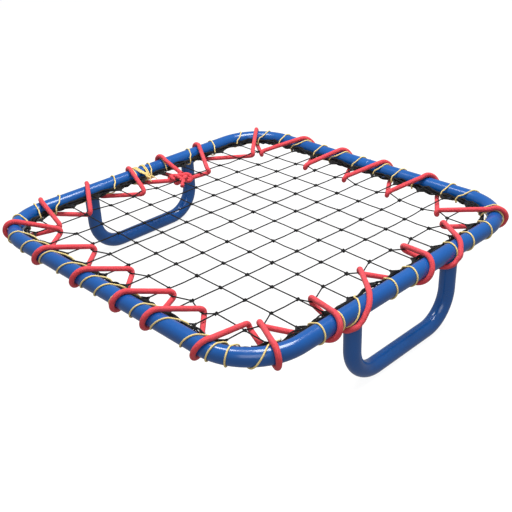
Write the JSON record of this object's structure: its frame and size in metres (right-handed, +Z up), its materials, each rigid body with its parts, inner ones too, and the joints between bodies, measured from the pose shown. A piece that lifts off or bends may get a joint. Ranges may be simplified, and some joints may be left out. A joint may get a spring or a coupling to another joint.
{
  "type": "hand-held rebounder net",
  "caption": "Square tube rim with two U handles, a tensioned net held by a bungee, and a lashing cord, for bouncing a ball by hand.",
  "frame": {"origin": "on the floor under the middle of the rim, with the rebounder standing on its two grip bars", "axes": "+Z up, square to the net; +X from the middle to one handle's side of the rim; +Y along the grips"},
  "size_m": [0.6426, 0.6418, 0.1454],
  "materials": {
    "blue_paint": "glossy blue powder coat",
    "black_twine": "matte twisted black netting twine",
    "red_sheath": "braided red sheath over a rubber core",
    "yellow_cord": "pale yellow braided cord"
  },
  "bodies": {
    "frame": {"rim_tube": "blue_paint", "rim_seam_weld": "blue_paint", "handle_right": "blue_paint", "handle_left": "blue_paint", "weld_right_front_outer": "blue_paint", "weld_right_front_inner": "blue_paint", "weld_right_back_outer": "blue_paint", "weld_right_back_inner": "blue_paint", "weld_left_front_outer": "blue_paint", "weld_left_front_inner": "blue_paint", "weld_left_back_outer": "blue_paint", "weld_left_back_inner": "blue_paint", "net_edge_right": "black_twine", "net_edge_back": "black_twine", "net_edge_left": "black_twine", "net_edge_front": "black_twine", "bungee_cord": "red_sheath", "bungee_anchor_loop": "red_sheath", "bungee_knot": "red_sheath", "lashing_cord": "yellow_cord", "lashing_hitch": "yellow_cord"},
    "net": {"net": "black_twine"}
  },
  "joints": [
    {"name": "net_slide", "type": "slide", "parent": "frame", "child": "net", "axis": [0, 0, 1], "range_m": [-0.05, 0.03], "stiffness_N_per_m": 1200, "deforming": ["bungee_cord", "bungee_anchor_loop", "bungee_knot"]}
  ]
}
